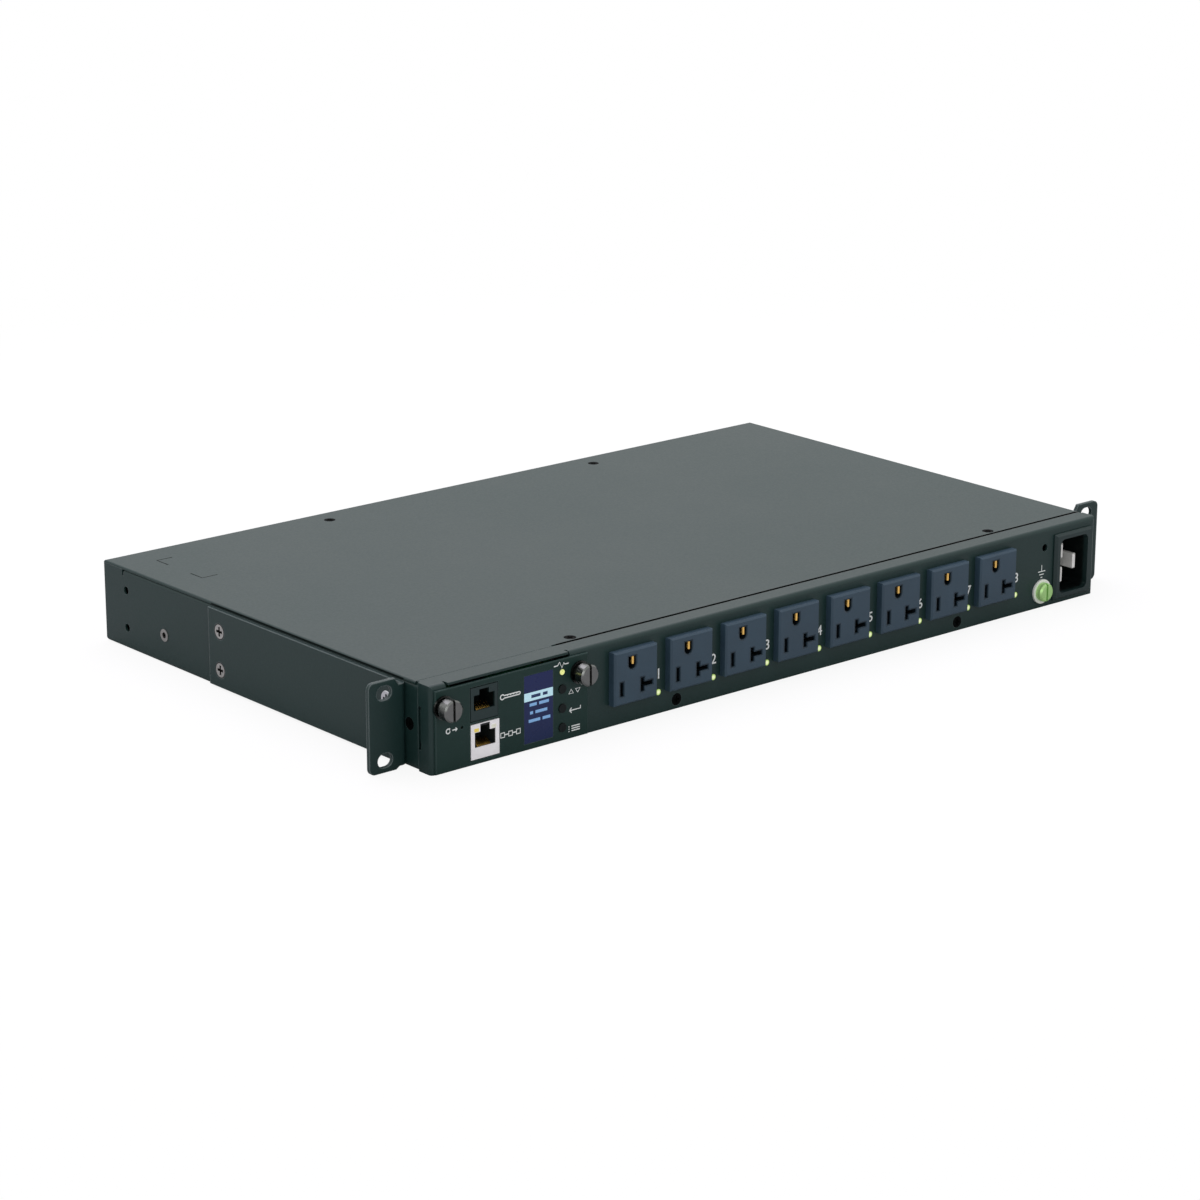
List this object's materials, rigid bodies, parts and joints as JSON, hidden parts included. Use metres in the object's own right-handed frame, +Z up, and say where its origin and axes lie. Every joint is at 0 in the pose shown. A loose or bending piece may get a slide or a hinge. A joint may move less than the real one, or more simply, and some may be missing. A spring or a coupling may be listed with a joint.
{
  "type": "rack power distribution unit",
  "caption": "Low rack-mounted power strip case with switched tee-slot outlets, a mains inlet and a plug-in controller module with display, jacks and thumbscrews.",
  "frame": {"origin": "middle of the underside of the case", "axes": "+X to the right seen from the front, +Y to the back, +Z up"},
  "size_m": [0.4826, 0.2745, 0.0432],
  "materials": {
    "case_paint": "satin powder coat",
    "black_screw": "black oxide",
    "nickel": "nickel plate",
    "zinc_sheet": "zinc plate",
    "outlet_plastic": "moulded satin",
    "contact_brass": "bright",
    "outlet_light": "clear lens",
    "black_plastic": "moulded satin",
    "ground_green": "green dye",
    "board_green": "solder mask",
    "relay_case": "moulded satin",
    "transformer_core": "varnished laminations",
    "capacitor_sleeve": "shrunk sleeve",
    "zinc_hardware": "zinc plate",
    "line_insulation": "wire insulation",
    "neutral_insulation": "wire insulation",
    "earth_insulation": "wire insulation",
    "plate_paint": "satin powder coat",
    "contact_gold": "gold flash",
    "jack_shell": "tinned",
    "display_window": "clear window over a dark screen",
    "status_lens": "clear lens",
    "button_plastic": "moulded satin"
  },
  "bodies": {
    "chassis": {"base_tray": "case_paint", "top_cover": "case_paint", "front_panel": "case_paint", "bracket_left": "case_paint", "bracket_right": "case_paint", "case_screws": "black_screw", "side_inserts": "nickel", "inlet_line_blade": "nickel", "inlet_neutral_blade": "nickel", "inlet_earth_blade": "nickel", "ground_washer": "nickel", "bay_divider": "zinc_sheet", "outlet_1": "outlet_plastic", "outlet_2": "outlet_plastic", "outlet_3": "outlet_plastic", "outlet_4": "outlet_plastic", "outlet_5": "outlet_plastic", "outlet_6": "outlet_plastic", "outlet_7": "outlet_plastic", "outlet_8": "outlet_plastic", "line_clips": "contact_brass", "neutral_bar": "contact_brass", "earth_bar": "contact_brass", "outlet_lights": "outlet_light", "inlet_housing": "black_plastic", "dock_socket": "black_plastic", "ground_screw": "ground_green", "outlet_board": "board_green", "supply_board": "board_green", "relays": "relay_case", "supply_transformer": "transformer_core", "supply_capacitor": "capacitor_sleeve", "board_standoffs": "zinc_hardware", "board_screws": "zinc_hardware", "bracket_screws": "zinc_hardware", "line_lead": "line_insulation", "neutral_lead": "neutral_insulation", "earth_lead": "earth_insulation"},
    "controller": {"controller_faceplate": "plate_paint", "controller_sled": "zinc_sheet", "interface_board": "board_green", "controller_board": "board_green", "dock_plug": "black_plastic", "sensor_jack": "black_plastic", "sensor_jack_contacts": "contact_gold", "network_jack_shell": "jack_shell", "network_jack_insert": "black_plastic", "network_jack_contacts": "contact_gold", "display": "display_window", "status_light": "status_lens", "ferrule_left": "nickel", "ferrule_right": "nickel", "button_switches": "black_plastic"},
    "scroll_button": {"scroll_button": "button_plastic"},
    "select_button": {"select_button": "button_plastic"},
    "menu_button": {"menu_button": "button_plastic"},
    "reset_button": {"reset_button": "button_plastic"},
    "thumbscrew_left": {"thumbscrew_left": "nickel"},
    "thumbscrew_right": {"thumbscrew_right": "nickel"}
  },
  "joints": [
    {"name": "controller_slide", "type": "slide", "parent": "chassis", "child": "controller", "axis": [0, -1, 0], "range_m": [0, 0.11]},
    {"name": "scroll_press", "type": "slide", "parent": "controller", "child": "scroll_button", "axis": [0, 1, 0], "range_m": [0, 0.0005], "stiffness_N_per_m": 400},
    {"name": "select_press", "type": "slide", "parent": "controller", "child": "select_button", "axis": [0, 1, 0], "range_m": [0, 0.0005], "stiffness_N_per_m": 400},
    {"name": "menu_press", "type": "slide", "parent": "controller", "child": "menu_button", "axis": [0, 1, 0], "range_m": [0, 0.0005], "stiffness_N_per_m": 400},
    {"name": "reset_press", "type": "slide", "parent": "controller", "child": "reset_button", "axis": [0, 1, 0], "range_m": [0, 0.0004], "stiffness_N_per_m": 400},
    {"name": "thumb_left_turn", "type": "hinge", "parent": "controller", "child": "thumbscrew_left", "pos_m": [-0.2139, -0.1325, 0.0315], "axis": [0, 1, 0], "continuous": true},
    {"name": "thumb_right_turn", "type": "hinge", "parent": "controller", "child": "thumbscrew_right", "pos_m": [-0.1344, -0.1325, 0.0315], "axis": [0, 1, 0], "continuous": true}
  ]
}
